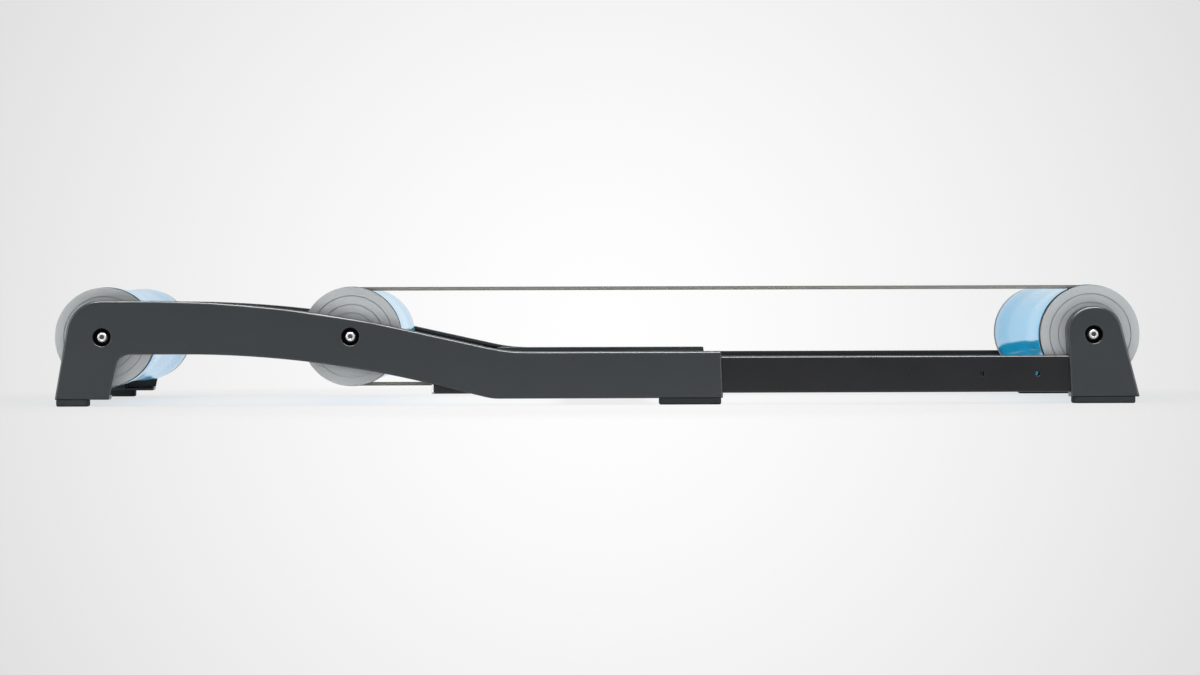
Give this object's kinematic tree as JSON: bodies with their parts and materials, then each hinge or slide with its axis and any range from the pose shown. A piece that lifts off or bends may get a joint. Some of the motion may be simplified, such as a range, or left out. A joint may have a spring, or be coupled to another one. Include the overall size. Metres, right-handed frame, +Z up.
{
  "type": "bike rollers",
  "caption": "Telescoping training rollers for a bicycle: three waisted rollers on two side rails, the front one on tubes that slide out, with a round drive belt",
  "frame": {"origin": "centre of the bounding box's base: on the floor, midway between the rear and the front roller", "axes": "+X forward, the way the rider faces, along the frame; +Y to the rider's left, along the rollers; +Z up"},
  "size_m": [1.1884, 0.465, 0.13],
  "materials": {
    "rail_plastic": "moulded dark-grey plastic with a fine even grain",
    "tube_steel": "black powder-coated steel",
    "bar_steel": "black powder-coated steel",
    "roller_blue": "glossy sky-blue plastic",
    "cap_grey": "turned grey plastic with fine rings",
    "axle_steel": "turned steel",
    "screw_steel": "zinc-plated steel",
    "bearing_steel": "ground bearing steel",
    "spring_steel": "drawn spring steel",
    "foot_rubber": "moulded black rubber",
    "belt_rubber": "round grey polyurethane cord",
    "bush_nylon": "black nylon",
    "plug_nylon": "natural nylon",
    "knob_plastic": "black moulded plastic"
  },
  "bodies": {
    "rear_frame": {"right_rear_rail": "rail_plastic", "left_rear_rail": "rail_plastic", "rear_crossbar": "bar_steel", "middle_crossbar": "bar_steel", "rear_crossbar_screws": "screw_steel", "middle_crossbar_screws": "screw_steel", "right_rear_foot": "foot_rubber", "left_rear_foot": "foot_rubber", "right_middle_foot": "foot_rubber", "left_middle_foot": "foot_rubber", "right_guide_collar": "bush_nylon", "left_guide_collar": "bush_nylon", "rear_guide_pads": "bush_nylon", "right_lock_housing": "bush_nylon", "left_lock_housing": "bush_nylon", "right_lock_spring": "spring_steel", "left_lock_spring": "spring_steel", "rear_axle": "axle_steel", "middle_axle": "axle_steel", "rear_axle_screws": "screw_steel", "middle_axle_screws": "screw_steel", "rear_axle_washers": "bush_nylon", "middle_axle_washers": "bush_nylon", "rear_axle_spacers": "axle_steel", "middle_axle_spacers": "axle_steel", "rear_inner_rings": "bearing_steel", "middle_inner_rings": "bearing_steel", "drive_belt": "belt_rubber"},
    "front_carriage": {"right_front_tube": "tube_steel", "left_front_tube": "tube_steel", "tube_end_plugs": "plug_nylon", "right_front_leg": "rail_plastic", "left_front_leg": "rail_plastic", "front_leg_screws": "screw_steel", "front_crossbar": "bar_steel", "front_crossbar_screws": "screw_steel", "right_front_foot": "foot_rubber", "left_front_foot": "foot_rubber", "front_axle": "axle_steel", "front_axle_screws": "screw_steel", "front_axle_washers": "bush_nylon", "front_axle_spacers": "axle_steel", "front_inner_rings": "bearing_steel"},
    "rear_roller": {"rear_roller_shell": "roller_blue", "rear_roller_right_cap": "cap_grey", "rear_roller_left_cap": "cap_grey", "rear_bearings": "bearing_steel"},
    "middle_roller": {"middle_roller_shell": "roller_blue", "middle_roller_right_cap": "cap_grey", "middle_roller_left_cap": "cap_grey", "middle_bearings": "bearing_steel"},
    "front_roller": {"front_roller_shell": "roller_blue", "front_roller_right_cap": "cap_grey", "front_roller_left_cap": "cap_grey", "front_bearings": "bearing_steel"},
    "right_lock": {"right_lock_pin": "axle_steel", "right_lock_knob": "knob_plastic"},
    "left_lock": {"left_lock_pin": "axle_steel", "left_lock_knob": "knob_plastic"}
  },
  "joints": [
    {"name": "carriage_slide", "type": "slide", "parent": "rear_frame", "child": "front_carriage", "axis": [1, 0, 0], "range_m": [-0.3754, 0.183], "deforming": ["drive_belt"]},
    {"name": "rear_roller_spin", "type": "hinge", "parent": "rear_frame", "child": "rear_roller", "pos_m": [-0.5392, 0, 0.075], "axis": [0, 1, 0], "continuous": true},
    {"name": "middle_roller_spin", "type": "hinge", "parent": "rear_frame", "child": "middle_roller", "pos_m": [-0.27, 0, 0.075], "axis": [0, 1, 0], "continuous": true},
    {"name": "front_roller_spin", "type": "hinge", "parent": "front_carriage", "child": "front_roller", "pos_m": [0.5392, 0, 0.075], "axis": [0, 1, 0], "continuous": true},
    {"name": "right_lock_slide", "type": "slide", "parent": "rear_frame", "child": "right_lock", "axis": [0, -1, 0], "range_m": [0, 0.005], "deforming": ["right_lock_spring"]},
    {"name": "left_lock_slide", "type": "slide", "parent": "rear_frame", "child": "left_lock", "axis": [0, 1, 0], "range_m": [0, 0.005], "deforming": ["left_lock_spring"]}
  ],
  "couplings": [
    {"joint": "front_roller_spin", "follows": "middle_roller_spin", "ratio": 1}
  ]
}
